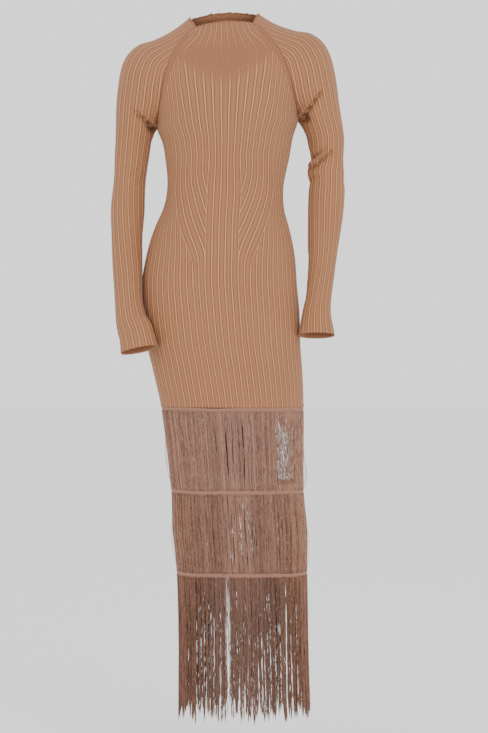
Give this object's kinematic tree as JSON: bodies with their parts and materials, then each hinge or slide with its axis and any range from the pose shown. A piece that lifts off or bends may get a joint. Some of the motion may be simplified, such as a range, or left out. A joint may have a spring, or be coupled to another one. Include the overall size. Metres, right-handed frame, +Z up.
{
  "type": "sweater dress",
  "caption": "Close-fitting long ribbed knit dress with a high neck, raglan sleeves with flared cuffs, and stacked fringe tiers from the thighs to the ankles.",
  "frame": {"origin": "in the middle between the shoulders, at the height at which the shoulders hold the dress, about 45 mm below the side of the neck edge", "axes": "+Z up along the dress, the front of the dress towards -Y, the wearer's left sleeve towards +X"},
  "size_m": [0.466, 0.2364, 1.4259],
  "materials": {
    "rib_knit": "soft fine rib knit in a warm light brown, matte with a slight sheen on the ribs",
    "edging": "small scalloped overlocked knit edge in the knit's colour",
    "header_band": "narrow matte knitted tape that carries the fringe",
    "fringe_yarn_1": "fine soft yarn with a low silky sheen, a little darker than the knit",
    "fringe_yarn_2": "fine soft yarn with a low silky sheen, darker than the tier above",
    "fringe_yarn_3": "fine soft yarn with a low silky sheen, the darkest of the tiers"
  },
  "bodies": {
    "root": {"front": "rib_knit", "back": "rib_knit", "sleeve_right": "rib_knit", "sleeve_left": "rib_knit", "neck_edging": "edging", "band_1": "header_band", "band_2": "header_band", "band_3": "header_band", "fringe_1": "fringe_yarn_1", "fringe_2": "fringe_yarn_2", "fringe_3": "fringe_yarn_3"}
  },
  "joints": []
}
